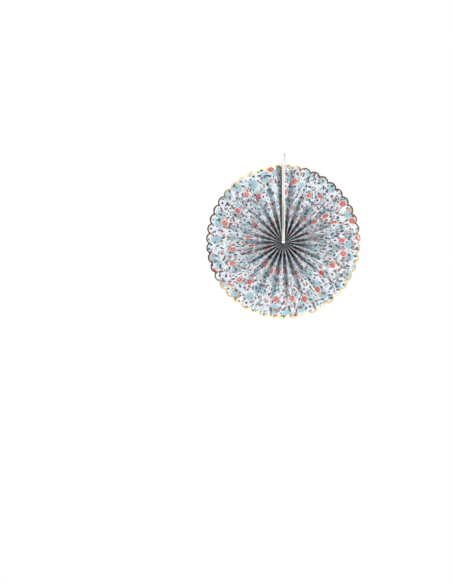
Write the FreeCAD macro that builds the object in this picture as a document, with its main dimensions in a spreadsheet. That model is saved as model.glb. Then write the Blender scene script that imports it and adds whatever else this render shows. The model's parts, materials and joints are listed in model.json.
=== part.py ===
import FreeCAD, Part

import math
import os

import Sketcher

# A pleated paper fan, opened to a full round and taped shut at its two end cards.
# It stands upright: +Z is up, the printed front faces -Y, and the origin is the fan's centre.
# The seam with the two end cards runs from the centre straight up to the rim.

# Driving sizes, in millimetres. Each one can be set by itself.
SIZES = {
    "fan_diameter": 250.0,  # over the tips of the scallops
    "pleat_pairs": 23.0,  # whole pleats; one more panel closes the round
    "rim_depth": 6.1,  # from ridge to valley, front to back, at the rim
    "paper_thickness": 0.18,
    "scallop_rise": 4.1,  # of each arc above its chord
    "centre_packing": 1.35,  # panel spacing at the centre, in paper thicknesses
    "seam_packing": 3.0,  # the same, for the panel beside each end card
    "seam_pull": 0.27,  # how far the end cards hold the next fold out, from 0 to 1
    "card_thickness": 2.0,
    "card_setback": 2.0,  # card's outer end below the scallop tips
    "card_corner": 3.0,  # radius of its two outer corners
    "tape_thickness": 0.2,
    "tape_margin": 1.5,  # from the card's edges
    "hang_hole": 4.0,  # diameter
    "hang_hole_drop": 13.5,  # hole's centre below the scallop tips
    "tie_inset": 2.2,  # binding thread's ring outside the inner ends of the pleats
    "tie_diameter": 0.6,
    "tie_clearance": 0.2,  # all round the binding thread in its punched holes
    "loop_diameter": 0.7,
    "knot_diameter": 2.1,
    "knot_height": 2.4,
    "tail_length": 3.6,
    "tail_lean": 14.0,  # degrees
}

# The hanging thread from one side of its knot, down through the hole and up to the knot again.
# Each point is across, and up from the scallop tips; the thread lies in the plane Y = 0.
LOOP_ROUTE = [
    (1.80, 14.0),
    (1.35, 10.2),
    (-0.60, 5.8),
    (-2.60, 2.0),
    (-3.15, -3.0),
    (-3.10, -8.0),
    (-2.85, -13.0),
    (2.85, -13.0),
    (3.00, -8.0),
    (3.05, -3.0),
    (2.95, 3.0),
    (2.80, 8.8),
    (2.60, 14.0),
]

CENTRE_GROWTH = 1.6  # from each facet near the centre to the next
FOLD_SPANS = 10  # facets along the curved outer part of each fold
SCALLOP_SPANS = 10  # facets round each scallop
HOLE_REACH = 2.0  # length of a punch through one panel, in paper thicknesses
TIE_SIDES, HANG_SIDES = 10, 24  # facets round the walls of the punched holes
ARC_SHARE = 0.45  # of the shorter run, taken up by a bend of the thread
KNOT_END_SHARE = 0.76  # radius of the knot's flat ends, as a share of its middle's
SEARCH_STEPS = 60
FRONT, BACK = 0, 1


def root_of(function, low, high):
    """The value between low and high where a rising function passes nought."""
    for _ in range(SEARCH_STEPS):
        middle = (low + high) / 2
        if function(middle) > 0:
            high = middle
        else:
            low = middle
    return (low + high) / 2


class FanLayout:
    """Where every fold of the opened strip runs, worked out from the driving sizes.

    Fold 0 lies along the front edge of the right card. The folds after it are counted clockwise as seen from
    the front, down to the one beside the lowest panel. A share goes from 0 at the inner end to 1 at the rim.
    """

    def __init__(self, sizes):
        self.paper = sizes["paper_thickness"]
        self.panels = 2 * round(sizes["pleat_pairs"]) + 1
        self.rise = sizes["scallop_rise"]
        self.rim_depth = sizes["rim_depth"]
        self.pull = sizes["seam_pull"]
        self.seam_half = sizes["tape_thickness"] / 2 + sizes["card_thickness"] + self.paper
        self.rim_tip = sizes["fan_diameter"] / 2
        self.rim_end = self.rim_tip - self.rise
        self.inner_pitch = sizes["centre_packing"] * self.paper
        self.inner_gap = sizes["seam_packing"] * self.paper
        self.last_fold = (self.panels - 1) // 2
        self.set_inner_ends()
        self.set_rim()
        self.set_shares()

    def set_inner_ends(self):
        """The inner ends stand side by side on a circle, with the cards between the first and the last."""
        packed = (self.panels - 2) * self.inner_pitch + 2 * self.inner_gap

        def spare(radius):
            return radius * 2 * (math.pi - math.asin(self.seam_half / radius)) - packed

        self.inner_radius = root_of(spare, self.seam_half, self.seam_half + packed)
        first = math.asin(self.seam_half / self.inner_radius)
        self.inner_end = self.inner_radius * math.cos(first)
        self.inner_angles = [first, first + self.inner_gap / self.inner_radius]
        for _ in range(1, self.last_fold):
            self.inner_angles.append(self.inner_angles[-1] + self.inner_pitch / self.inner_radius)

    def rim_fit(self, step):
        """The panel width, the folds' rim radius and the rim chords, when a plain panel turns by this step."""
        radius = self.rim_end / math.cos(step / 2)
        chord = 2 * radius * math.sin(step / 2)
        width = math.hypot(chord, self.rim_depth)
        plain = self.rim_depth / 2
        pulled = plain + self.pull * (width / 2 - plain)
        beside_card = math.sqrt(width**2 - (width / 2 + pulled) ** 2)
        second = math.sqrt(width**2 - (pulled + plain) ** 2)
        return width, radius, (beside_card, second, chord)

    def rim_turns(self, step):
        """The turns from the card's face to fold 0, and on to fold 1 and fold 2."""
        _, radius, (beside_card, second, _) = self.rim_fit(step)
        corner = math.hypot(self.seam_half, self.rim_end)
        cosine = (corner**2 + radius**2 - beside_card**2) / (2 * corner * radius)
        return math.atan2(self.seam_half, self.rim_end), math.acos(cosine), 2 * math.asin(second / (2 * radius))

    def set_rim(self):
        """The plain panels' step at the rim is the one that closes the round."""

        def overlap(step):
            return sum(self.rim_turns(step)) + (self.panels - 4) * step / 2 - math.pi

        step = root_of(overlap, math.pi / self.panels, 3 * math.pi / self.panels)
        self.width, self.rim_radius, self.rim_chords = self.rim_fit(step)
        seam, first, second = self.rim_turns(step)
        self.rim_angles = [seam, seam + first, seam + first + second]
        for _ in range(2, self.last_fold):
            self.rim_angles.append(self.rim_angles[-1] + step)

    def set_shares(self):
        """Stations along each fold: chords that grow steadily near the centre, then equal turns of its curve."""
        chords = [self.inner_pitch]
        while chords[-1] * CENTRE_GROWTH < self.width / 4:
            chords.append(chords[-1] * CENTRE_GROWTH)
        start = math.asin(chords[-1] / self.width)
        end = math.asin(self.rim_chords[2] / self.width)
        for i in range(1, FOLD_SPANS + 1):
            chords.append(self.width * math.sin(start + (end - start) * i / FOLD_SPANS))
        spread = self.rim_chords[2] - self.inner_pitch
        self.shares = [(chord - self.inner_pitch) / spread for chord in chords]

    def chord(self, panel, share):
        """The spacing of the folds on the two sides of a panel."""
        inner = self.inner_gap if panel == 0 else self.inner_pitch
        return inner + (self.rim_chords[min(panel, 2)] - inner) * share

    def spot(self, fold, share):
        """Where a fold is in the fan's plane: across and up."""
        if fold == 0:
            return self.seam_half, self.inner_end + (self.rim_end - self.inner_end) * share
        inner, outer = self.inner_angles[fold], self.rim_angles[fold]
        across = self.inner_radius * math.sin(inner) * (1 - share) + self.rim_radius * math.sin(outer) * share
        up = self.inner_radius * math.cos(inner) * (1 - share) + self.rim_radius * math.cos(outer) * share
        return across, up

    def reach(self, fold, share):
        """How far the outside of a fold stands in front of the fan's middle plane, or behind it."""
        if fold == 0:
            return self.width / 2
        if fold == 1:
            return math.sqrt(self.width**2 - self.chord(0, share) ** 2) - self.width / 2 + self.paper / 2
        return math.sqrt(self.width**2 - self.chord(2, share) ** 2) / 2 + self.paper / 2

    def through(self, panel, share):
        """The front-to-back thickness of a sloping panel whose paper has its true thickness."""
        chord = self.chord(panel, share)
        depth = self.reach(panel, share) + self.reach(panel + 1, share)
        steep = (chord / self.paper) ** 2 - 1
        return (math.sqrt(depth**2 + steep * (chord**2 + depth**2)) - depth) / steep

    def fold_sides(self, fold, share):
        """The fold's point on the printed side, and its point on the back."""
        across, up = self.spot(fold, share)
        reach = self.reach(fold, share)
        through = (self.through(fold - 1, share) + self.through(fold, share)) / 2
        if fold % 2 == 0:
            front, back = -reach, through - reach
        else:
            front, back = reach - through, reach
        return FreeCAD.Vector(across, front, up), FreeCAD.Vector(across, back, up)

    def card_fold_sides(self, share):
        """The same for fold 0, where the strip turns away from the card."""
        across, up = self.spot(0, share)
        front = FreeCAD.Vector(across - self.paper, -self.reach(0, share), up)
        next_front = self.fold_sides(1, share)[FRONT]
        slope = (next_front.y - front.y) / math.hypot(next_front.x - front.x, next_front.z - front.z)
        inside = front.y + self.paper * (slope + math.sqrt(1 + slope**2))
        return front, FreeCAD.Vector(across, inside, up)

    def free_edge_sides(self, share):
        """The same for the strip's end, at the back edge of the right card."""
        across, up = self.spot(0, share)
        back_edge = self.reach(0, share)
        return FreeCAD.Vector(across - self.paper, back_edge, up), FreeCAD.Vector(across, back_edge, up)

    def columns(self, shares):
        """For the strip's two ends and all its folds in order, the points on the printed side and on the back."""
        right = [[self.free_edge_sides(share) for share in shares]]
        right.append([self.card_fold_sides(share) for share in shares])
        for fold in range(1, self.last_fold + 1):
            right.append([self.fold_sides(fold, share) for share in shares])
        # A half turn about Z carries the right half to the left, with the printed side and the back swapped.
        left = []
        for column in reversed(right):
            left.append([(half_turn(pair[BACK]), half_turn(pair[FRONT])) for pair in column])
        return right + left

    def tie_ring(self, inset):
        """The radius of the binding thread's ring."""
        return self.inner_radius + inset

    def card_tie_span(self, ring, hole):
        """The lowest and highest points of the hole that lets the ring through the two cards."""
        lowest = math.sqrt(ring**2 - self.seam_half**2)
        return lowest - hole / 2, ring + hole / 2


def half_turn(point):
    return FreeCAD.Vector(-point.x, -point.y, point.z)


def scallop_points(start, end, rise):
    """Points along one panel's rim, which bulges away from the fan's centre in the plane of the panel."""
    across = end - start
    glued_to_card = abs(across.x) < abs(across.y) / 100
    middle = (start + end) / 2
    outward = FreeCAD.Vector(0 if glued_to_card else middle.x, 0, middle.z).normalize()
    radius = (across.Length**2 / 4 + rise**2) / (2 * rise)
    half_turn_of_arc = math.asin(across.Length / 2 / radius)
    across.normalize()
    points = [start]
    for i in range(1, SCALLOP_SPANS):
        turn = half_turn_of_arc * (2 * i / SCALLOP_SPANS - 1)
        along = radius * math.sin(turn)
        beyond = rise - radius * (1 - math.cos(turn))
        points.append(middle + across * along + outward * beyond)
    return points + [end]


def flat_face(*points):
    return Part.Face(Part.makePolygon([*points, points[0]]))


def strip_faces(near, far, leaning=False):
    """Flat facets between two lines of points; leaning says which corners their diagonals join."""
    faces = []
    for i in range(len(near) - 1):
        if leaning:
            faces.append(flat_face(near[i], far[i], near[i + 1]))
            faces.append(flat_face(far[i], far[i + 1], near[i + 1]))
        else:
            faces.append(flat_face(near[i], far[i], far[i + 1]))
            faces.append(flat_face(near[i], far[i + 1], near[i + 1]))
    return faces


def panel_faces(near, far, rise, leaning):
    """The two sides, the scallop and the inner end of the panel between two columns."""
    faces, rims, ends = [], [], []
    for side in (FRONT, BACK):
        near_points = [pair[side] for pair in near]
        far_points = [pair[side] for pair in far]
        faces += strip_faces(near_points, far_points, leaning)
        rim = scallop_points(near_points[-1], far_points[-1], rise)
        faces.append(flat_face(*rim))
        rims.append(rim)
        ends.append([near_points[0], far_points[0]])
    return faces + strip_faces(*rims) + strip_faces(*ends)


def punch(middle, axis, radius, length, sides):
    """A straight punch, with flat sides for its round wall."""
    first = axis.cross(FreeCAD.Vector(0, 1, 0)).normalize()
    second = axis.cross(first)
    corners = []
    for i in range(sides):
        turn = 2 * math.pi * i / sides
        corners.append(middle - axis * (length / 2) + (first * math.cos(turn) + second * math.sin(turn)) * radius)
    return flat_face(*corners).extrude(axis * length)


def tie_crossing(start, end, ring):
    """Where the binding thread's ring crosses the panel between two columns' middle points."""
    near, far = [a + (b - a) * (a.y / (a.y - b.y)) for a, b in zip(start, end)]
    along = far - near
    square, lean = along.dot(along), near.dot(along)
    share = (math.sqrt(lean**2 - square * (near.dot(near) - ring**2)) - lean) / square
    return near + along * share


def tie_punches(layout, sizes):
    """One round punch square to each panel, where the binding thread goes through it."""
    radius = sizes["tie_diameter"] / 2 + sizes["tie_clearance"]
    length = HOLE_REACH * layout.paper
    share = sizes["tie_inset"] / (layout.rim_radius - layout.inner_radius)
    ring = layout.tie_ring(sizes["tie_inset"])
    middles = []
    for column in layout.columns([0, share, 1]):
        middles.append([(front + back) / 2 for front, back in column])
    punches = []
    for start, end in zip(middles, middles[1:]):
        middle = tie_crossing(start[:2], end[:2], ring)
        across = end[1] - start[1]
        outward = start[2] + end[2] - start[1] - end[1]
        square = across.cross(FreeCAD.Vector(outward.x, 0, outward.z)).normalize()
        punches.append(punch(middle, square, radius, length, TIE_SIDES))
    return punches


def pleated_strip(layout, sizes):
    """The whole folded strip as one solid, with the holes punched for the two threads."""
    columns = layout.columns(layout.shares)
    faces = []
    for panel, (near, far) in enumerate(zip(columns, columns[1:])):
        faces += panel_faces(near, far, layout.rise, panel % 2 == 1)
    for column in (columns[0], columns[-1]):
        faces += strip_faces([pair[FRONT] for pair in column], [pair[BACK] for pair in column])
    shell = Part.makeShell(faces)
    shell.sewShape()
    strip = Part.makeSolid(shell)
    if strip.Volume < 0:
        strip.reverse()
    hang_place = FreeCAD.Vector(0, 0, layout.rim_tip - sizes["hang_hole_drop"])
    through_seam = 2 * (layout.seam_half + layout.paper)
    hang_hole = punch(hang_place, FreeCAD.Vector(1, 0, 0), sizes["hang_hole"] / 2, through_seam, HANG_SIDES)
    return strip.cut([hang_hole, *tie_punches(layout, sizes)]).Solids[0]


def thread_path(points):
    """Straight runs joined by tangent arcs, each as large as its two runs allow."""
    edges = []
    last = points[0]
    for before, corner, after in zip(points, points[1:], points[2:]):
        back, ahead = before - corner, after - corner
        taken = ARC_SHARE * min(back.Length, ahead.Length)
        back.normalize()
        ahead.normalize()
        half = (math.pi - back.getAngle(ahead)) / 2
        radius = taken / math.tan(half)
        print(f"thread bend: radius {radius:.2f}, turn {math.degrees(2 * half):.1f} degrees")
        towards_centre = (back + ahead).normalize()
        middle = corner + towards_centre * (radius / math.cos(half) - radius)
        start, end = corner + back * taken, corner + ahead * taken
        edges.append(Part.LineSegment(last, start).toShape())
        edges.append(Part.Arc(start, middle, end).toShape())
        last = end
    edges.append(Part.LineSegment(last, points[-1]).toShape())
    return Part.Wire(edges)


def thread_tube(layout, diameter):
    """The hanging thread as one round tube along its route."""
    points = [FreeCAD.Vector(across, 0, layout.rim_tip + up) for across, up in LOOP_ROUTE]
    path = thread_path(points)
    profile = Part.Wire(Part.makeCircle(diameter / 2, points[0], points[1] - points[0]))
    tube = path.makePipeShell([profile], True, True)
    expected = math.pi * diameter**2 / 4 * path.Length
    print(f"thread: length {path.Length:.2f}, volume {tube.Volume:.3f}, section times length {expected:.3f}")
    return tube


def number_sheet(document, name, values):
    """A sheet with one named number in each row."""
    sheet = document.addObject("Spreadsheet::Sheet", name)
    for row, (alias, value) in enumerate(values.items(), 1):
        sheet.set(f"A{row}", alias)
        sheet.set(f"B{row}", repr(value))
        sheet.setAlias(f"B{row}", alias)
    document.recompute()
    return sheet


def new_body(document, label):
    body = document.addObject("PartDesign::Body", label)
    body.Label = label
    return body


def new_sketch(body, name, role):
    """A sketch on one of the body's own origin planes."""
    sketch = body.newObject("Sketcher::SketchObject", name)
    plane = next(item for item in body.Origin.OriginFeatures if item.Role == role)
    sketch.AttachmentSupport = [(plane, "")]
    sketch.MapMode = "FlatFace"
    return sketch


def bind(sketch, name, expression, constraint):
    """Adds a constraint that takes its size from the sheets."""
    index = sketch.addConstraint(constraint)
    sketch.renameConstraint(index, name)
    sketch.setExpression(f"Constraints.{name}", expression)


def card_outline(sketch, inset):
    """A rectangle as wide as a panel and as tall as the card, less an inset all round, with its two holes."""
    half, low, high = 8.0, 2.0, 120.0
    corners = [(-half, low), (half, low), (half, high), (-half, high)]
    for start, end in zip(corners, corners[1:] + corners[:1]):
        sketch.addGeometry(Part.LineSegment(FreeCAD.Vector(*start, 0), FreeCAD.Vector(*end, 0)))
    for line in range(4):
        sketch.addConstraint(Sketcher.Constraint("Coincident", line, 2, (line + 1) % 4, 1))
    sketch.addConstraint(Sketcher.Constraint("Symmetric", 0, 1, 0, 2, -2))
    sketch.addConstraint(Sketcher.Constraint("Horizontal", 2))
    for line in (1, 3):
        sketch.addConstraint(Sketcher.Constraint("Vertical", line))
    width = Sketcher.Constraint("DistanceX", 0, 1, 0, 2, 2 * half)
    bind(sketch, "width", f"Layout.panel_width - 2 * {inset}", width)
    bind(sketch, "low", f"Layout.inner_end + {inset}", Sketcher.Constraint("DistanceY", -1, 1, 0, 1, low))
    bind(sketch, "high", f"Layout.card_end - {inset}", Sketcher.Constraint("DistanceY", -1, 1, 2, 1, high))
    holes = {"hang": ("Layout.hang_up", "Sizes.hang_hole"), "tie": ("Layout.tie_up", "Layout.card_tie_hole")}
    for name, (up, diameter) in holes.items():
        place = FreeCAD.Vector(0, 110 if name == "hang" else 5, 0)
        circle = sketch.addGeometry(Part.Circle(place, FreeCAD.Vector(0, 0, 1), 1))
        sketch.addConstraint(Sketcher.Constraint("PointOnObject", circle, 3, -2))
        bind(sketch, f"{name}_up", up, Sketcher.Constraint("DistanceY", -1, 1, circle, 3, place.y))
        bind(sketch, f"{name}_hole", diameter, Sketcher.Constraint("Diameter", circle, 2))


def end_card(document, label, side):
    """One of the two stiff cards: a plate with two rounded outer corners, on one side of the tape."""
    body = new_body(document, label)
    sketch = new_sketch(body, f"{label}_outline", "YZ_Plane")
    card_outline(sketch, "0")
    pad = body.newObject("PartDesign::Pad", f"{label}_plate")
    pad.Profile = sketch
    pad.setExpression("Length", "Sizes.card_thickness")
    pad.Reversed = side < 0
    document.recompute()
    outer = pad.Shape.BoundBox.ZMax
    names = []
    for number, edge in enumerate(pad.Shape.Edges, 1):
        box = edge.BoundBox
        if box.XLength > box.YLength + box.ZLength and abs(box.ZMin - outer) < 0.01:
            names.append(f"Edge{number}")
    corners = body.newObject("PartDesign::Fillet", f"{label}_corners")
    corners.Base = (pad, names)
    corners.setExpression("Radius", "Sizes.card_corner")
    body.Tip = corners
    body.setExpression("Placement.Base.x", f"{side} * Sizes.tape_thickness / 2")
    return body


def seam_tape(document, label):
    """The double-sided tape between the two cards."""
    body = new_body(document, label)
    sketch = new_sketch(body, f"{label}_outline", "YZ_Plane")
    card_outline(sketch, "Sizes.tape_margin")
    pad = body.newObject("PartDesign::Pad", f"{label}_strip")
    pad.Profile = sketch
    pad.setExpression("Length", "Sizes.tape_thickness")
    body.setExpression("Placement.Base.x", "-Sizes.tape_thickness / 2")
    return body


def binding_thread(document, label):
    """A ring of thread through the inner ends of all the panels and the cards."""
    body = new_body(document, label)
    sketch = new_sketch(body, f"{label}_section", "XY_Plane")
    circle = sketch.addGeometry(Part.Circle(FreeCAD.Vector(5, 0, 0), FreeCAD.Vector(0, 0, 1), 0.3))
    sketch.addConstraint(Sketcher.Constraint("PointOnObject", circle, 3, -1))
    bind(sketch, "ring", "Layout.tie_ring", Sketcher.Constraint("DistanceX", -1, 1, circle, 3, 5))
    bind(sketch, "thread", "Sizes.tie_diameter", Sketcher.Constraint("Diameter", circle, 0.6))
    ring = body.newObject("PartDesign::Revolution", f"{label}_ring")
    ring.Profile = sketch
    ring.ReferenceAxis = (sketch, ["V_Axis"])
    ring.Angle = 360
    return body


def knot_profile(sketch):
    """Half of the barrel: two flat ends of equal radius, and an arc that bulges between them."""
    radius, height = 1.05, 2.4
    end = KNOT_END_SHARE * radius
    points = [FreeCAD.Vector(*spot, 0) for spot in ((0, 0), (end, 0), (end, height), (0, height))]
    sketch.addGeometry(Part.LineSegment(points[0], points[1]))
    arc = sketch.addGeometry(Part.Arc(points[1], FreeCAD.Vector(radius, height / 2, 0), points[2]))
    sketch.addGeometry(Part.LineSegment(points[2], points[3]))
    sketch.addGeometry(Part.LineSegment(points[3], points[0]))
    sketch.addConstraint(Sketcher.Constraint("Coincident", 0, 1, -1, 1))
    sketch.addConstraint(Sketcher.Constraint("Coincident", 0, 2, arc, 1))
    sketch.addConstraint(Sketcher.Constraint("Coincident", 2, 1, arc, 2))
    sketch.addConstraint(Sketcher.Constraint("Coincident", 3, 1, 2, 2))
    sketch.addConstraint(Sketcher.Constraint("Coincident", 3, 2, 0, 1))
    for line in (0, 2):
        sketch.addConstraint(Sketcher.Constraint("Horizontal", line))
    sketch.addConstraint(Sketcher.Constraint("Vertical", 3))
    sketch.addConstraint(Sketcher.Constraint("Equal", 0, 2))
    bind(sketch, "height", "Sizes.knot_height", Sketcher.Constraint("DistanceY", 0, 1, 3, 1, height))
    flat_end = f"{KNOT_END_SHARE} * Sizes.knot_diameter / 2"
    bind(sketch, "flat_end", flat_end, Sketcher.Constraint("DistanceX", 0, 1, 0, 2, end))
    bulge = f"(1 - {KNOT_END_SHARE}) * Sizes.knot_diameter / 2"
    curve = f"{bulge} / 2 + Sizes.knot_height ^ 2 / (8 * {bulge})"
    start_curve = (radius - end) / 2 + height**2 / (8 * (radius - end))
    bind(sketch, "curve", curve, Sketcher.Constraint("Radius", arc, start_curve))


def hanging_knot(document, label):
    """The barrel of the knot, flat below where the thread's two ends go in, with two short tails."""
    body = new_body(document, label)
    sketch = new_sketch(body, f"{label}_profile", "XZ_Plane")
    knot_profile(sketch)
    barrel = body.newObject("PartDesign::Revolution", f"{label}_barrel")
    barrel.Profile = sketch
    barrel.ReferenceAxis = (sketch, ["V_Axis"])
    barrel.Angle = 360
    for side in (-1, 1):
        tail = body.newObject("PartDesign::AdditiveCylinder", f"{label}_tail_{'left' if side < 0 else 'right'}")
        tail.setExpression("Radius", "Sizes.loop_diameter / 2")
        tail.setExpression("Height", "Sizes.knot_height / 2 + Sizes.tail_length")
        tail.setExpression("Placement.Base.z", "Sizes.knot_height / 2")
        tail.setExpression("Placement.Rotation.Angle", f"{side} * Sizes.tail_lean")
        tail.Placement.Rotation.Axis = FreeCAD.Vector(0, 1, 0)
    body.setExpression("Placement.Base.x", "Layout.knot_across")
    body.setExpression("Placement.Base.z", "Layout.knot_up")
    return body


def shaped(document, label, shape):
    piece = document.addObject("Part::Feature", label)
    piece.Label = label
    piece.Shape = shape
    piece.Placement = FreeCAD.Placement()
    return piece


def check(document, pieces):
    document.recompute()
    for item in document.Objects:
        if "Invalid" in item.State or "Error" in item.State:
            raise RuntimeError(f"{item.Label} failed: {item.State}")
    for piece in pieces:
        shape = piece.Shape
        if shape.isNull() or not shape.isValid() or len(shape.Solids) != 1:
            raise RuntimeError(f"{piece.Label} is not one valid solid")
        print(f"{piece.Label}: {shape.Volume:.1f} cubic millimetres")


document = FreeCAD.newDocument("pleated_paper_fan")
sheet = number_sheet(document, "Sizes", SIZES)
sizes = {alias: float(sheet.get(alias)) for alias in SIZES}
layout = FanLayout(sizes)
tie_ring = layout.tie_ring(sizes["tie_inset"])
tie_low, tie_high = layout.card_tie_span(tie_ring, sizes["tie_diameter"] + 2 * sizes["tie_clearance"])
number_sheet(
    document,
    "Layout",
    {
        "panel_width": layout.width,
        "inner_end": layout.inner_end,
        "card_end": layout.rim_tip - sizes["card_setback"],
        "hang_up": layout.rim_tip - sizes["hang_hole_drop"],
        "tie_ring": tie_ring,
        "tie_up": (tie_low + tie_high) / 2,
        "card_tie_hole": tie_high - tie_low,
        "knot_across": (LOOP_ROUTE[0][0] + LOOP_ROUTE[-1][0]) / 2,
        "knot_up": layout.rim_tip + LOOP_ROUTE[0][1],
    },
)
pieces = [
    shaped(document, "pleated_fan", pleated_strip(layout, sizes)),
    end_card(document, "left_end_card", -1),
    end_card(document, "right_end_card", 1),
    seam_tape(document, "seam_tape"),
    binding_thread(document, "binding_thread"),
    shaped(document, "hanging_thread", thread_tube(layout, sizes["loop_diameter"])),
    hanging_knot(document, "hanging_knot"),
]
check(document, pieces)
os.makedirs("parts", exist_ok=True)
for piece in pieces:
    piece.Shape.exportStep(f"parts/{piece.Label}.step")
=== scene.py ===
import json
import math

import bpy
import bmesh
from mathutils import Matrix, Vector

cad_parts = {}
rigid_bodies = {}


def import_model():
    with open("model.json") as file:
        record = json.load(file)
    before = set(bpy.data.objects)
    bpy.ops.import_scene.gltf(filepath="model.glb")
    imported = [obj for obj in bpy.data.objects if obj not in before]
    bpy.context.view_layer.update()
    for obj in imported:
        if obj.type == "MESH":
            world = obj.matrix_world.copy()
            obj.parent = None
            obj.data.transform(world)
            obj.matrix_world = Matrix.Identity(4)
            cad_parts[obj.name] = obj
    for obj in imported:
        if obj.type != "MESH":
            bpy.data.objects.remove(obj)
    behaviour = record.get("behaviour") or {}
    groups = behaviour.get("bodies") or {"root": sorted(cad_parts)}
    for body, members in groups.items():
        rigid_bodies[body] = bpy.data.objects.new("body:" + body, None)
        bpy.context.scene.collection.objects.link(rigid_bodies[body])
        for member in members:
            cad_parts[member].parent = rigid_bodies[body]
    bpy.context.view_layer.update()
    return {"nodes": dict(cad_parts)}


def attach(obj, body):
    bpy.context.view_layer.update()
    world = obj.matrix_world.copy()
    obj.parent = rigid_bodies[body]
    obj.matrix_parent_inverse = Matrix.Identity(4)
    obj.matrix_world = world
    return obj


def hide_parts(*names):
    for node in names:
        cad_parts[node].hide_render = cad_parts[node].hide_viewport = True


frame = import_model()
nodes = frame["nodes"]

# The printed front of the fan faces -Y and the seam runs up from its centre along +Z.

view = {
    "distance": 3.0,
    "aside": -0.0927,  # the photograph's middle, from the fan's centre
    "up": -0.0812,
    "shown": 0.9443,  # height of the picture at the fan
    "sensor": 24,  # millimetres
    "farthest": 50,  # how far the camera sees
}


def placeCamera():
    spot = (view["aside"], -view["distance"], view["up"])
    bpy.ops.object.camera_add(location=spot, rotation=(math.pi / 2, 0, 0))
    camera = bpy.context.object
    camera.name = "photoCamera"
    camera.data.sensor_fit = "VERTICAL"
    camera.data.sensor_height = view["sensor"]
    camera.data.lens = view["sensor"] * view["distance"] / view["shown"]
    camera.data.clip_end = view["farthest"]
    bpy.context.scene.camera = camera


placeCamera()
print("camera placed")


# Shader maths: a Wire is a node's output that can stand in a sum.
class Wire:
    def __init__(self, finish, socket):
        self.finish = finish
        self.socket = socket

    def __add__(self, other):
        return self.finish.maths("ADD", self, other)

    def __radd__(self, other):
        return self.finish.maths("ADD", other, self)

    def __sub__(self, other):
        return self.finish.maths("SUBTRACT", self, other)

    def __rsub__(self, other):
        return self.finish.maths("SUBTRACT", other, self)

    def __mul__(self, other):
        return self.finish.maths("MULTIPLY", self, other)

    def __rmul__(self, other):
        return self.finish.maths("MULTIPLY", other, self)

    def __truediv__(self, other):
        return self.finish.maths("DIVIDE", self, other)

    def __rtruediv__(self, other):
        return self.finish.maths("DIVIDE", other, self)

    def __pow__(self, other):
        return self.finish.maths("POWER", self, other)

    def __rpow__(self, other):
        return self.finish.maths("POWER", other, self)

    def __abs__(self):
        return self.finish.maths("ABSOLUTE", self)

    def output(self, name):
        return Wire(self.finish, self.socket.node.outputs[name])


# The nodes of one material, or of the world.
class Finish:
    def __init__(self, owner):
        self.owner = owner
        self.owner.use_nodes = True
        self.tree = self.owner.node_tree
        self.tree.nodes.clear()

    def node(self, kind, settings=None, values=None):
        made = self.tree.nodes.new(kind)
        for name, setting in (settings or {}).items():
            setattr(made, name, setting)
        for name, value in (values or {}).items():
            if isinstance(value, Wire):
                self.tree.links.new(value.socket, made.inputs[name])
            else:
                made.inputs[name].default_value = value
        return Wire(self, made.outputs[0]) if len(made.outputs) else None

    def maths(self, operation, *terms):
        return self.node("ShaderNodeMath", {"operation": operation}, dict(enumerate(terms)))

    def vector(self, operation, *terms):
        return self.node("ShaderNodeVectorMath", {"operation": operation}, dict(enumerate(terms)))

    def scaled(self, vector, factor):
        values = {"Vector": vector, "Scale": factor}
        return self.node("ShaderNodeVectorMath", {"operation": "SCALE"}, values)

    def parts(self, vector):
        split = self.node("ShaderNodeSeparateXYZ", {}, {"Vector": vector})
        return split, split.output("Y"), split.output("Z")

    def place(self):
        return self.node("ShaderNodeTexCoord").output("Object")

    def mix(self, share, first, second):
        # a Mix node's colours are its sockets 6 and 7, and its output 2
        values = {"Factor": share, 6: first, 7: second}
        return self.node("ShaderNodeMix", {"data_type": "RGBA"}, values).output(2)

    def noise(self, place, scale, detail=2.0, roughness=0.5):
        values = {"Vector": place, "Scale": scale, "Detail": detail, "Roughness": roughness}
        return self.node("ShaderNodeTexNoise", {}, values)

    def soft(self, value, low, high):
        values = {"Value": value, "From Min": low, "From Max": high}
        return self.node("ShaderNodeMapRange", {"interpolation_type": "SMOOTHSTEP"}, values)

    def bump(self, height, strength, distance):
        values = {"Height": height, "Strength": strength, "Distance": distance}
        return self.node("ShaderNodeBump", {}, values)

    def surface(self, values):
        shader = self.node("ShaderNodeBsdfPrincipled", {}, values)
        self.node("ShaderNodeOutputMaterial", {}, {"Surface": shader})
        return self.owner


def ink(red, green, blue):
    # a printed colour as it looks, 0 to 255, turned to the scene's linear light
    shares = []
    for value in (red, green, blue):
        value /= 255
        shares.append(value / 12.92 if value <= 0.04045 else ((value + 0.055) / 1.055) ** 2.4)
    return (*shares, 1.0)


# The strip as it lay flat before it was pleated, in metres.
strip = {
    "panels": 49,
    "panelWidth": 0.017435,
    "length": 0.122,  # from the inner end to the tip of each scallop
    "scallopRise": 0.0041,
    "rimStart": 0.1205,  # only corners of the scallops lie outside this radius
    "foldAngle": 22,  # every fold turns by more degrees than this, and nothing within a panel does
    "sideArea": 0.0005,  # each side of a panel has more than this, in square metres
    "gluedFacing": 0.98,  # a side whose normal has more than this along X is glued to a card
    "firstFolds": [1.08, 6.42, 13.84],  # at the rim, in degrees clockwise from the seam
    "foldStep": 7.729,  # degrees from each of the other folds to the next
    "mergeGap": 0.000002,
}

# The ground that the motifs are printed on.
ground = {
    "paper": ink(247, 250, 252),
    "wash": ink(228, 237, 243),
    "washNoise": (1 / 0.03, 3.0),  # scale and detail
    "washRange": (0.35, 0.7),
    "inkEdge": 0.00025,  # half the width over which each printed shape fades out
}

leafForm = {
    "breadth": 0.40,  # half its width, as a share of half its length
    "vein": (0.09, 0.02),  # such shares too, from its middle
    "veinStrength": 0.45,
}

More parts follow.
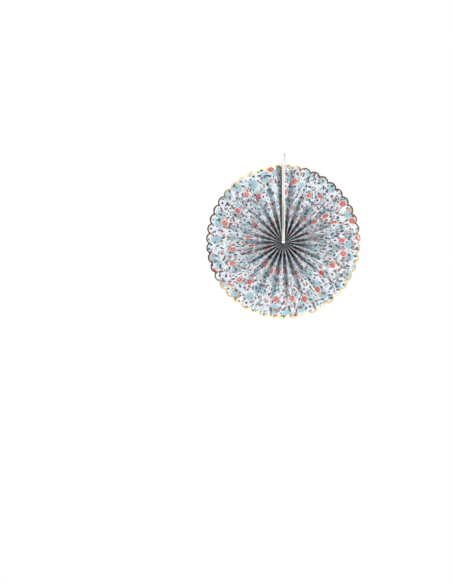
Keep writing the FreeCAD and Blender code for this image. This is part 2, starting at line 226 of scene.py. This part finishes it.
sprigForm = {
    "leaflets": 2.6,  # in half its length
    "slant": 1.3,  # how far a leaflet leans along the stem
    "offStem": 0.15,  # shares of half the sprig's length, as the two edges are
    "narrowness": (1.2, 0.7),  # of a leaflet, along the stem and away from it
    "leafletEdge": (0.14, 0.10),
    "tip": (0.99, 0.93),
}

berryForm = {
    "shine": (0.55, 0.2),  # shares of its radius between which it grows paler
    "shineStrength": 0.4,
}

flowerForm = {
    "lobePower": 0.55,  # the lower, the rounder its petals
    "blush": (0.15, 0.95),  # shares of its radius between which it changes colour
    "blushStrength": 0.7,
    "tintStrength": 0.3,
    "swirl": 19 / 3,  # radians that a swirl turns from the middle to the edge
    "swirlArms": 2,
    "swirlRange": (0.2, 0.9),
    "swirlStrength": 0.45,
    "crease": (0.34, 0.05),
    "creaseStart": (0.35, 0.7),  # shares of its radius
    "creaseStrength": 0.45,
    "creaseInk": ink(122, 158, 176),
    "eyeEdge": (1.15, 0.85),  # shares of the eye's radius
    "haloWidth": 0.05,
}


def alongStem(finish, spot, size):
    # how far a point is along the stem and aside from it, as shares of half the motif's length
    slanted = spot["angle"] + spot["turn"]
    down = spot["away"] * finish.maths("COSINE", slanted) / size
    aside = abs(spot["away"] * finish.maths("SINE", slanted)) / size
    return down, aside


def drawLeaf(finish, spot, motif):
    edge = ground["inkEdge"]
    down, aside = alongStem(finish, spot, motif["size"])
    blade = (1 - down * down) * leafForm["breadth"] - aside
    shape = finish.soft(blade * motif["size"], -edge, edge)
    vein = finish.soft(aside, *leafForm["vein"])
    colour = finish.mix(spot["tint"], *motif["inks"])
    return shape, finish.mix(vein * leafForm["veinStrength"], colour, ground["wash"])


def drawSprig(finish, spot, motif):
    down, aside = alongStem(finish, spot, motif["size"])
    count = down * sprigForm["leaflets"] + aside * sprigForm["slant"]
    leaflet = (finish.maths("FRACT", count) - 0.5) / sprigForm["leaflets"]
    offMiddle = aside - sprigForm["offStem"]
    lengthways, sideways = sprigForm["narrowness"]
    reach = (leaflet * leaflet * lengthways + offMiddle * offMiddle * sideways) ** 0.5
    shape = finish.soft(reach, *sprigForm["leafletEdge"]) * finish.soft(abs(down), *sprigForm["tip"])
    return shape, finish.mix(spot["tint"], *motif["inks"])


def drawBerry(finish, spot, motif):
    size, edge = motif["size"], ground["inkEdge"]
    paleFrom, paleTo = berryForm["shine"]
    shape = finish.soft(spot["away"], size + edge, size - edge)
    colour = finish.mix(spot["tint"], *motif["inks"])
    shine = finish.soft(spot["away"], size * paleFrom, size * paleTo)
    return shape, finish.mix(shine * berryForm["shineStrength"], colour, ground["paper"])


def softShare(finish, value, size, shares):
    return finish.soft(value, size * shares[0], size * shares[1])


def drawFlower(finish, spot, motif):
    size, edge, frill = motif["size"], ground["inkEdge"], motif["frill"]
    lobes = abs(finish.maths("COSINE", (spot["angle"] + spot["turn"]) * (motif["petals"] / 2)))
    reach = spot["away"] / (lobes ** flowerForm["lobePower"] * frill + (1 - frill))
    shape = finish.soft(reach, size + edge, size - edge)
    blush = softShare(finish, reach, size, flowerForm["blush"]) * flowerForm["blushStrength"]
    colour = finish.mix(blush + spot["tint"] * flowerForm["tintStrength"], *motif["inks"])
    if motif["swirled"]:
        winding = reach * (flowerForm["swirl"] / size) + spot["angle"] * flowerForm["swirlArms"]
        swirl = finish.soft(finish.maths("SINE", winding), *flowerForm["swirlRange"])
        colour = finish.mix(swirl * flowerForm["swirlStrength"], colour, motif["eye"])
    else:
        crease = finish.soft(lobes, *flowerForm["crease"])
        crease = crease * softShare(finish, reach, size, flowerForm["creaseStart"])
        colour = finish.mix(crease * flowerForm["creaseStrength"], colour, flowerForm["creaseInk"])
    eye = softShare(finish, spot["away"], size * motif["eyeShare"], flowerForm["eyeEdge"])
    colour = finish.mix(eye, colour, motif["eye"])
    # bare paper is left round each flower
    halo = softShare(finish, reach, size, (motif["halo"], motif["halo"] + flowerForm["haloWidth"]))
    return shape, finish.mix(halo, colour, ground["paper"])


# Each kind of flower, leaf or berry, from the lowest up: how far apart they stand, how large one is in
# metres, and the share of its places that are filled.
motifs = [
    # small pale berries
    {"draw": drawBerry, "spacing": 0.0044, "size": 0.0010, "shift": (4.1, 5.9), "share": 0.62,
     "inks": (ink(108, 124, 146), ink(184, 176, 200))},
    # pale leaves
    {"draw": drawLeaf, "spacing": 0.0092, "size": 0.0040, "shift": (11.3, 2.9), "share": 0.74,
     "inks": (ink(122, 158, 172), ink(178, 206, 213))},
    # dark sprigs
    {"draw": drawSprig, "spacing": 0.0230, "size": 0.0080, "shift": (7.3, 0.7), "share": 0.66,
     "inks": (ink(50, 54, 84), ink(96, 80, 112))},
    # large aqua blossoms
    {"draw": drawFlower, "spacing": 0.0272, "size": 0.0108, "shift": (1.9, 4.3), "share": 0.97,
     "inks": (ink(168, 204, 212), ink(194, 220, 225)), "petals": 9, "frill": 0.12, "swirled": False,
     "halo": 0.86, "eyeShare": 0.09, "eye": ink(206, 112, 112)},
    # dark leaves
    {"draw": drawLeaf, "spacing": 0.0112, "size": 0.0042, "shift": (3.1, 7.7), "share": 0.66,
     "inks": (ink(32, 50, 70), ink(72, 92, 110))},
    # plum berries
    {"draw": drawBerry, "spacing": 0.0062, "size": 0.0014, "shift": (5.7, 1.3), "share": 0.36,
     "inks": (ink(52, 46, 74), ink(112, 64, 88))},
    # burgundy berries
    {"draw": drawBerry, "spacing": 0.0094, "size": 0.0021, "shift": (8.9, 6.1), "share": 0.46,
     "inks": (ink(116, 46, 58), ink(204, 100, 100))},
    # tan berries
    {"draw": drawBerry, "spacing": 0.0185, "size": 0.0028, "shift": (2.3, 9.1), "share": 0.46,
     "inks": (ink(176, 132, 100), ink(222, 188, 160))},
    # coral roses
    {"draw": drawFlower, "spacing": 0.0330, "size": 0.0064, "shift": (6.7, 3.7), "share": 0.72,
     "inks": (ink(182, 78, 82), ink(240, 146, 138)), "petals": 5, "frill": 0.22, "swirled": True,
     "halo": 0.88, "eyeShare": 0.16, "eye": ink(248, 190, 172)},
    # white flowers with a dark eye
    {"draw": drawFlower, "spacing": 0.0400, "size": 0.0060, "shift": (9.7, 8.3), "share": 0.74,
     "inks": (ink(222, 228, 240), ink(246, 248, 251)), "petals": 6, "frill": 0.26, "swirled": False,
     "halo": 0.95, "eyeShare": 0.30, "eye": ink(58, 40, 72)},
]

scatter = {
    "looseness": 0.62,  # how far a motif may stand from the middle of its place
    "cut": 0.01,  # half the step between filled and empty
}


def drawMotif(finish, flat, below, motif):
    # one motif stands in each cell of a loose grid, turned and tinted by chance
    cells = finish.vector("ADD", finish.scaled(flat, 1 / motif["spacing"]), (*motif["shift"], 0))
    cell = finish.node(
        "ShaderNodeTexVoronoi",
        {"voronoi_dimensions": "2D"},
        {"Vector": cells, "Scale": 1.0, "Randomness": scatter["looseness"]},
    )
    local = finish.scaled(finish.vector("SUBTRACT", cells, cell.output("Position")), motif["spacing"])
    chance = finish.node("ShaderNodeSeparateColor", {}, {"Color": cell.output("Color")})
    across, along, _ = finish.parts(local)
    spot = {
        "away": finish.vector("LENGTH", local).output("Value"),
        "angle": finish.maths("ARCTAN2", along, across),
        "turn": chance.output("Blue") * (2 * math.pi),
        "tint": chance.output("Green"),
    }
    shape, colour = motif["draw"](finish, spot, motif)
    present = finish.soft(chance, motif["share"] + scatter["cut"], motif["share"] - scatter["cut"])
    return finish.mix(shape * present, below, colour)


# How the paper itself feels and shines, on both its sides.
paper = {
    "fibres": (2600, 3.0, 0.6),  # scale, detail and roughness of the noise
    "clouds": 160,
    "fibreShare": 0.6,
    "printRoughness": 0.62,
    "printUneven": 0.12,
    "printBump": 0.25,
    "backRoughness": 0.72,
    "backUneven": 0.1,
    "backBump": 0.3,
    "bumpHeight": 0.0001,
    "specular": 0.12,
    "back": ink(244, 243, 240),
    "ghost": ink(224, 229, 232),  # where the print shows faintly through
    "ghostScale": 60,
    "ghostRange": (0.4, 0.7),
    "ghostStrength": 0.35,
}

# What folding has done to the print, with painted light along the folds: pale cracks on the forward folds,
# partly a painted highlight, and painted shade in the valley folds. The pleats close up towards the strip's
# inner end.
foldCracksAndPaintedShade = {
    "closing": (0.054, 0.014),  # metres from the inner end
    "crackHighlightWidth": 0.00045,  # of the pale line where the print has cracked along a fold, partly a painted highlight
    "crackHighlightGrowth": 2.2,  # how much wider the painted highlight is where the pleats are closed
    "crackHighlightRagged": 0.0005,
    "crackHighlightEdge": (1.0, 0.3),  # shares of its width
    "crackHighlightStrength": 0.9,
    "crackHighlightInk": ink(252, 252, 250),
    "paintedShadeReach": (0.0115, 0.001),  # metres from the valley fold, over which the painted shade fades
    "paintedShadeStrength": 0.74,
    "paintedShadeInk": ink(34, 40, 48),
}

# The foil along the scallops.
foil = {
    "width": 0.0023,
    "edge": 0.0001,
    "ragged": 0.0006,
    "start": (0, 0.002),  # beyond the centres of the scallops' arcs
    "reflectionBrightestTurn": 160,  # degrees clockwise from the seam, where the painted reflection on the gold is brightest
    "reflectionDarkestGap": 110,  # degrees from there, both ways, to where the painted reflection is darkest
    "reflectionDarkRange": (-0.3, 0.7),
    "reflectionPatches": (14, 1.0),  # scale and detail
    "reflectionPatchStrength": 2.4,
    # the gold's colour where the painted reflection is bright and where it is dark
    "brightReflectionInk": ink(230, 208, 152),
    "darkReflection": ink(92, 72, 48),
    "metallic": 0.75,
    "smoother": 0.27,
}


def stripMap(finish):
    return finish.node("ShaderNodeUVMap", {"uv_map": "stripMap"})


def paperGrain(finish, flat):
    fibres = finish.noise(flat, *paper["fibres"])
    clouds = finish.noise(flat, paper["clouds"])
    return fibres * paper["fibreShare"] + clouds * (1 - paper["fibreShare"])


def drawFoldCracksAndPaintedShade(finish, colour, panels, up, grain):
    # every other fold points forward, where the print has cracked and a painted highlight widens the crack
    # near the centre, and the folds between get painted shade where the pleats close up
    width = strip["panelWidth"]
    ridgeGap = abs(finish.maths("FRACT", panels / 2) - 0.5) * (2 * width)
    closed = finish.soft(up, *foldCracksAndPaintedShade["closing"])
    crackHighlightWidth = foldCracksAndPaintedShade["crackHighlightWidth"] * (1 + closed * foldCracksAndPaintedShade["crackHighlightGrowth"])
    gap = (ridgeGap + (grain - 0.5) * foldCracksAndPaintedShade["crackHighlightRagged"]) / crackHighlightWidth
    # the pale line is cracked print, widened near the centre as a painted highlight
    crackHighlight = finish.soft(gap, *foldCracksAndPaintedShade["crackHighlightEdge"]) * foldCracksAndPaintedShade["crackHighlightStrength"]
    colour = finish.mix(crackHighlight, colour, foldCracksAndPaintedShade["crackHighlightInk"])
    # painted shade darkens the valley folds where the pleats close up
    paintedValleyShade = finish.soft(width - ridgeGap, *foldCracksAndPaintedShade["paintedShadeReach"]) * closed * foldCracksAndPaintedShade["paintedShadeStrength"]
    return finish.mix(paintedValleyShade, colour, foldCracksAndPaintedShade["paintedShadeInk"])


def foilMask(finish, panels, up, grain):
    # the gold line follows each scallop, whose arc is as wide as the panel
    rise = strip["scallopRise"]
    half = strip["panelWidth"] / 2
    bend = (half**2 + rise**2) / (2 * rise)
    offMiddle = abs(finish.maths("FRACT", panels) - 0.5) * strip["panelWidth"]
    outward = up - (strip["length"] - bend)
    gap = bend - (offMiddle * offMiddle + outward * outward) ** 0.5 + (grain - 0.5) * foil["ragged"]
    line = finish.soft(gap, foil["width"] + foil["edge"], foil["width"] - foil["edge"])
    return line * finish.soft(outward, *foil["start"])


def foilPaintedReflection(finish, flat, along):
    # painted reflection: the gold is painted dark at the upper right and on the left, where it would mirror
    # dark surroundings, and pale between, in patches
    turned = along * (2 * math.pi / (strip["panels"] * strip["panelWidth"]))
    fromDarkestReflection = abs(turned - math.radians(foil["reflectionBrightestTurn"])) - math.radians(foil["reflectionDarkestGap"])
    reflectionPatches = finish.noise(finish.vector("MULTIPLY", flat, (1, 0, 0)), *foil["reflectionPatches"])
    darkReflection = finish.maths("COSINE", fromDarkestReflection * 2) + (reflectionPatches - 0.5) * foil["reflectionPatchStrength"]
    return finish.mix(finish.soft(darkReflection, *foil["reflectionDarkRange"]), foil["brightReflectionInk"], foil["darkReflection"])


def printedPaper():
    finish = Finish(bpy.data.materials.new("printedPaper"))
    flat = stripMap(finish)
    along, up, _ = finish.parts(flat)
    grain = paperGrain(finish, flat)
    wash = finish.soft(finish.noise(flat, *ground["washNoise"]), *ground["washRange"])
    colour = finish.mix(wash, ground["paper"], ground["wash"])
    for motif in motifs:
        colour = drawMotif(finish, flat, colour, motif)
    panels = along / strip["panelWidth"]
    # cracks with a painted highlight on the forward folds, and painted shade in the valley folds
    colour = drawFoldCracksAndPaintedShade(finish, colour, panels, up, grain)
    gold = foilMask(finish, panels, up, grain)
    uneven = (grain - 0.5) * paper["printUneven"]
    return finish.surface({
        # the foil's colour holds a painted reflection
        "Base Color": finish.mix(gold, colour, foilPaintedReflection(finish, flat, along)),
        "Roughness": paper["printRoughness"] - gold * foil["smoother"] + uneven,
        "Metallic": gold * foil["metallic"],
        "Normal": finish.bump(grain, paper["printBump"], paper["bumpHeight"]),
        "Specular IOR Level": paper["specular"],
    })


def whitePaper():
    finish = Finish(bpy.data.materials.new("whitePaperBack"))
    flat = stripMap(finish)
    grain = paperGrain(finish, flat)
    ghost = finish.soft(finish.noise(flat, paper["ghostScale"]), *paper["ghostRange"])
    return finish.surface({
        "Base Color": finish.mix(ghost * paper["ghostStrength"], paper["back"], paper["ghost"]),
        "Roughness": paper["backRoughness"] + (grain - 0.5) * paper["backUneven"],
        "Normal": finish.bump(grain, paper["backBump"], paper["bumpHeight"]),
        "Specular IOR Level": paper["specular"],
    })


# The cards' cut edges are painted tan along the middle of the seam, the left one's most.
board = {
    "left": ink(236, 233, 227),
    "leftTanShare": 0.9,
    "right": ink(246, 245, 242),
    "rightTanShare": 0.15,
    "tanBand": ink(150, 126, 102),
    "tanStart": (0.012, 0.024),  # metres above the fan's centre
    "tanEnd": (0.070, 0.052),
    "tanRagged": 0.012,
    "tanWidth": (0.0022, 0.0014),
    "tanClouds": 90,
    "speckle": ink(196, 188, 176),
    "speckles": 700,
    "speckleRange": (0.6, 0.75),
    "speckleStrength": 0.3,
    "fibres": (1500, 4.0, 0.65),
    "fibreLayers": (3.0, 1.0, 1.0),  # the fibres are closest through the card's thickness
    "roughness": 0.8,
    "uneven": 0.15,
    "bump": 0.35,
    "bumpHeight": 0.00015,
}


def cardBoard(name, colour, tanShare):
    finish = Finish(bpy.data.materials.new(name))
    place = finish.place()
    across, _, up = finish.parts(place)
    fibres = finish.noise(finish.vector("MULTIPLY", place, board["fibreLayers"]), *board["fibres"])
    speckle = finish.soft(finish.noise(place, board["speckles"]), *board["speckleRange"])
    height = up + (finish.noise(place, board["tanClouds"]) - 0.5) * board["tanRagged"]
    tanBand = finish.soft(height, *board["tanStart"]) * finish.soft(height, *board["tanEnd"])
    tanBand = tanBand * finish.soft(abs(across), *board["tanWidth"])
    colour = finish.mix(speckle * board["speckleStrength"], colour, board["speckle"])
    return finish.surface({
        "Base Color": finish.mix(tanBand * tanShare, colour, board["tanBand"]),
        "Roughness": board["roughness"] + (fibres - 0.5) * board["uneven"],
        "Normal": finish.bump(fibres, board["bump"], board["bumpHeight"]),
    })


tape = {
    "thick": ink(226, 214, 186),
    "thin": ink(240, 234, 218),
    "clouds": (180, 3.0),
    "roughness": 0.35,
    "uneven": 0.15,
    "bump": 0.2,
    "bumpHeight": 0.0001,
}


def clearTape():
    finish = Finish(bpy.data.materials.new("adhesiveTape"))
    cloud = finish.noise(finish.place(), *tape["clouds"])
    return finish.surface({
        "Base Color": finish.mix(cloud, tape["thick"], tape["thin"]),
        "Roughness": tape["roughness"] + cloud * tape["uneven"],
        "Normal": finish.bump(cloud, tape["bump"], tape["bumpHeight"]),
    })


cotton = {
    "dark": ink(196, 188, 174),
    "light": ink(240, 236, 228),
    "lightRange": (0.0, 1.4),
    "twist": 9000,  # radians of the yarn's twist in a metre
    "fuzz": (6000, 3.0),
    "roughness": 0.85,
    "uneven": 0.1,
    "bump": 0.6,
    "bumpHeight": 0.0002,
}


def cottonThread():
    finish = Finish(bpy.data.materials.new("cottonThread"))
    place = finish.place()
    across, back, up = finish.parts(place)
    fuzz = finish.noise(place, *cotton["fuzz"])
    yarn = finish.maths("SINE", (across + back + up) * cotton["twist"]) + fuzz
    return finish.surface({
        "Base Color": finish.mix(finish.soft(yarn, *cotton["lightRange"]), cotton["dark"], cotton["light"]),
        "Roughness": cotton["roughness"] + (fuzz - 0.5) * cotton["uneven"],
        "Normal": finish.bump(yarn, cotton["bump"], cotton["bumpHeight"]),
    })


# The loop of thread runs from its knot, down through the hole in the cards and up again.
loop = {
    "route": [
        (1.80, 14.0), (1.35, 10.2), (-0.60, 5.8), (-2.60, 2.0), (-3.15, -3.0), (-3.10, -8.0), (-2.85, -13.0),
        (2.85, -13.0), (3.00, -8.0), (3.05, -3.0), (2.95, 3.0), (2.80, 8.8), (2.60, 14.0),
    ],  # across, and up from the scallop tips, in millimetres
    "tips": 0.125,
    "thickness": 0.0007,
    "length": 0.0588,
    "order": 3,  # how smoothly the thread rounds its points
    "steps": 12,  # from one point to the next
    "roundness": 3,
}

knot = {
    "across": 0.0022,  # its middle, from the middle of the seam
    "low": 0.1390,  # where its coil begins, above the fan's centre
    "turns": 3,
    "rise": 0.0008,  # from one turn of the coil to the next
    "stepsPerTurn": 24,
    "threadSides": 12,
    "mergeGap": 0.00001,
    "tails": [
        [
            (-0.0002, 0.0002, 0.0002), (-0.0003, 0.0001, 0.0014), (-0.0004, 0.0001, 0.0026),
            (-0.0007, 0.0, 0.0040), (-0.0013, 0.0001, 0.0055),
        ],
        [
            (0.0003, -0.0001, 0.0002), (0.0003, -0.0001, 0.0014), (0.0004, -0.0001, 0.0025),
            (0.0008, 0.0, 0.0038), (0.0012, -0.0002, 0.0050),
        ],
    ],
}


def threadAlong(points, name):
    bpy.ops.object.select_all(action="DESELECT")
    bpy.ops.curve.primitive_nurbs_path_add(location=(0, 0, 0))
    thread = bpy.context.object
    thread.name = name
    spline = thread.data.splines[0]
    spline.points.add(len(points) - len(spline.points))
    for point, spot in zip(spline.points, points):
        point.co = (*spot, 1)
    spline.order_u = loop["order"]
    spline.use_endpoint_u = True
    thread.data.resolution_u = loop["steps"]
    thread.data.bevel_depth = loop["thickness"] / 2
    thread.data.bevel_resolution = loop["roundness"]
    thread.data.use_fill_caps = True
    return thread


def threadCoil():
    # the thread's round outline, turned about the upright axis as it rises
    bpy.ops.object.select_all(action="DESELECT")
    bpy.ops.mesh.primitive_circle_add(
        vertices=knot["threadSides"],
        radius=loop["thickness"] / 2,
        location=(0, 0, 0),
        rotation=(math.pi / 2, 0, 0),
    )
    coil = bpy.context.object
    bpy.ops.object.transform_apply(rotation=True)
    bpy.ops.object.mode_set(mode="EDIT")
    bpy.ops.mesh.select_all(action="SELECT")
    bpy.ops.transform.translate(value=(loop["thickness"], 0, loop["thickness"] / 2))
    bpy.ops.object.mode_set(mode="OBJECT")
    screw = coil.modifiers.new("turns", "SCREW")
    screw.axis = "Z"
    screw.angle = 2 * math.pi * knot["turns"]
    screw.screw_offset = knot["rise"] * knot["turns"]
    screw.steps = screw.render_steps = knot["stepsPerTurn"] * knot["turns"]
    bpy.ops.object.modifier_apply(modifier="turns")
    return coil


def tiedKnot():
    # turns of thread round the loop's two ends, which come out above as short tails
    coil = threadCoil()
    pieces = [coil]
    for tail in knot["tails"]:
        pieces.append(threadAlong(tail, "threadTail"))
        bpy.ops.object.convert(target="MESH")
    bpy.ops.object.select_all(action="DESELECT")
    for piece in pieces:
        piece.select_set(True)
    bpy.context.view_layer.objects.active = coil
    bpy.ops.object.join()
    bpy.ops.object.mode_set(mode="EDIT")
    bpy.ops.mesh.select_all(action="SELECT")
    bpy.ops.mesh.remove_doubles(threshold=knot["mergeGap"])
    bpy.ops.mesh.select_all(action="SELECT")
    bpy.ops.mesh.normals_make_consistent(inside=False)
    bpy.ops.object.mode_set(mode="OBJECT")
    coil.location = (knot["across"], 0, knot["low"])
    bpy.ops.object.transform_apply(location=True, rotation=True, scale=True)
    bpy.ops.object.shade_smooth()
    coil.name = "tiedKnot"
    coil.data.materials.clear()
    coil.data.materials.append(cottonThread())
    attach(coil, "root")
    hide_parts("hanging_knot")
    return coil


def hangingLoop(knotPiece):
    points = [(across / 1000, 0, loop["tips"] + up / 1000) for across, up in loop["route"]]
    piece = threadAlong(points, "hangingLoop")
    piece.data.materials.append(cottonThread())
    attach(piece, "root")
    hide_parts("hanging_thread")


hangingLoop(tiedKnot())
print("hanging loop made")


def mergedCopy(node, name):
    bpy.ops.object.select_all(action="DESELECT")
    source = nodes[node]
    source.select_set(True)
    bpy.context.view_layer.objects.active = source
    bpy.ops.object.duplicate()
    piece = bpy.context.object
    bpy.ops.object.parent_clear(type="CLEAR_KEEP_TRANSFORM")
    for key in list(piece.keys()):
        if key.startswith("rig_"):
            del piece[key]
    piece.name = name
    piece.data.name = name
    bpy.ops.object.mode_set(mode="EDIT")
    bpy.ops.mesh.select_all(action="SELECT")
    bpy.ops.mesh.remove_doubles(threshold=strip["mergeGap"])
    bpy.ops.object.mode_set(mode="OBJECT")
    bpy.ops.mesh.customdata_custom_splitnormals_clear()
    return piece


def flatRegions(mesh, sharpAngle):
    # groups of faces that meet without a fold: each big one is one side of one panel
    left = set(mesh.faces)
    regions = []
    for seed in mesh.faces:
        if seed not in left:
            continue
        left.discard(seed)
        region, queue = [seed], [seed]
        while queue:
            face = queue.pop()
            for edge in face.edges:
                for other in edge.link_faces:
                    if other in left and face.normal.angle(other.normal, 0) < sharpAngle:
                        left.discard(other)
                        region.append(other)
                        queue.append(other)
        regions.append(region)
    return regions


def foldTurns():
    # where all the folds stand at the rim, in degrees clockwise from the seam
    turns = list(strip["firstFolds"])
    while len(turns) < strip["panels"] // 2:
        turns.append(turns[-1] + strip["foldStep"])
    return turns + [360 - turn for turn in reversed(turns)]


def unfold(region, turns, layer):
    # writes where each corner of one panel's side lay on the flat strip
    points = {vertex: vertex.co for face in region for vertex in face.verts}
    rim = [co for co in points.values() if math.hypot(co.x, co.z) > strip["rimStart"]]
    inner = sorted(points.values(), key=lambda co: math.hypot(co.x, co.z))[:2]
    rimMiddle = sum(rim, Vector()) / len(rim)
    innerMiddle = (inner[0] + inner[1]) / 2
    outward = Vector((rimMiddle.x - innerMiddle.x, 0, rimMiddle.z - innerMiddle.z)).normalized()
    sideways = Vector((outward.z, 0, -outward.x))
    top = max(co.dot(outward) for co in rim)
    clockwise = math.degrees(math.atan2(rimMiddle.x, rimMiddle.z)) % 360
    normal = sum((face.normal * face.calc_area() for face in region), Vector()).normalized()
    glued = abs(normal.x) > strip["gluedFacing"]
    printed = normal.x < 0 if glued else normal.y < 0
    if glued:
        panel = 0 if rimMiddle.x > 0 else strip["panels"] - 1
    else:
        panel = sum(1 for turn in turns if turn < clockwise)
    half = strip["panelWidth"] / 2
    for face in region:
        face.material_index = 0 if printed else 1
        for corner in face.loops:
            co = corner.vert.co
            aside = min(half, math.hypot((co - innerMiddle).dot(sideways), co.y))
            forward = (co.y > 0) == (panel % 2 == 1)
            across = half + aside if forward else half - aside
            up = strip["length"] - top + co.dot(outward)
            corner[layer].uv = (panel * strip["panelWidth"] + across, up)


def printedFan():
    piece = mergedCopy("pleated_fan", "printedFan")
    foldAngle = math.radians(strip["foldAngle"])
    mesh = bmesh.new()
    mesh.from_mesh(piece.data)
    layer = mesh.loops.layers.uv.new("stripMap")
    sides, walls = [], []
    for region in flatRegions(mesh, foldAngle):
        wide = sum(face.calc_area() for face in region) > strip["sideArea"]
        (sides if wide else walls).append(region)
    turns = foldTurns()
    for region in sides:
        unfold(region, turns, layer)
    known = {}
    for region in sides:
        for face in region:
            for corner in face.loops:
                known[corner.vert] = corner[layer].uv.copy()
    for region in walls:
        for face in region:
            face.material_index = 1
            for corner in face.loops:
                corner[layer].uv = known.get(corner.vert, (0, 0))
    # the slots come first, because clearing them sets every face back to the first
    piece.data.materials.clear()
    piece.data.materials.append(printedPaper())
    piece.data.materials.append(whitePaper())
    mesh.to_mesh(piece.data)
    mesh.free()
    bpy.ops.object.shade_smooth_by_angle(angle=foldAngle)
    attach(piece, "root")
    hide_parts("pleated_fan")
    print("panel sides", len(sides), "walls", len(walls))


printedFan()
print("printed fan made")


def finishNode(name, material):
    materials = nodes[name].data.materials
    materials.clear()
    materials.append(material)


finishNode("left_end_card", cardBoard("leftCard", board["left"], board["leftTanShare"]))
finishNode("right_end_card", cardBoard("rightCard", board["right"], board["rightTanShare"]))
finishNode("seam_tape", clearTape())
finishNode("binding_thread", cottonThread())
print("cards, tape and binding thread finished")

studio = {
    "floor": -0.75,
    "floorSize": 1.5,
    "floorInks": (ink(236, 236, 236), ink(242, 242, 242)),
    "floorClouds": 3,
    "floorRoughness": 0.8,
    "ambient": 0.60,
    "lamps": [
        {"name": "rightLamp", "place": (1.58, -1.08, 0.28), "size": 0.5, "power": 15.0},
        {"name": "leftLamp", "place": (-1.58, -1.08, 0.28), "size": 0.5, "power": 13.0},
        {"name": "rightBackLamp", "place": (1.30, 1.45, 0.80), "size": 0.8, "power": 9.5},
        {"name": "leftBackLamp", "place": (-1.30, 1.45, 0.80), "size": 0.8, "power": 6.0},
    ],
}


def lightLamps():
    for lamp in studio["lamps"]:
        place = Vector(lamp["place"])
        turned = (-place).to_track_quat("-Z", "Y").to_euler()
        bpy.ops.object.light_add(type="AREA", location=place, rotation=turned)
        light = bpy.context.object
        light.name = lamp["name"]
        light.data.size = lamp["size"]
        light.data.energy = lamp["power"]


def lightSky():
    # white where it is seen, also in a gloss or through something clear, and dimmer where it gives light
    world = bpy.data.worlds.new("studioWorld")
    bpy.context.scene.world = world
    sky = Finish(world)
    ray = sky.node("ShaderNodeLightPath")
    seen = sky.maths("MAXIMUM", ray.output("Is Camera Ray"), ray.output("Is Glossy Ray"))
    seen = sky.maths("MAXIMUM", seen, ray.output("Is Transmission Ray"))
    strength = seen * (1 - studio["ambient"]) + studio["ambient"]
    back = sky.node("ShaderNodeBackground", {}, {"Color": (1, 1, 1, 1), "Strength": strength})
    sky.node("ShaderNodeOutputWorld", {}, {"Surface": back})


def layFloor():
    bpy.ops.object.select_all(action="DESELECT")
    bpy.ops.mesh.primitive_plane_add(size=studio["floorSize"], location=(0, 0, studio["floor"]))
    floor = bpy.context.object
    floor.name = "floor"
    finish = Finish(bpy.data.materials.new("paleFloor"))
    cloud = finish.noise(finish.place(), studio["floorClouds"])
    floor.data.materials.append(finish.surface({
        "Base Color": finish.mix(cloud, *studio["floorInks"]),
        "Roughness": studio["floorRoughness"],
    }))


lightLamps()
lightSky()
layFloor()
bpy.context.scene.view_settings.view_transform = "Standard"
print("studio lit")
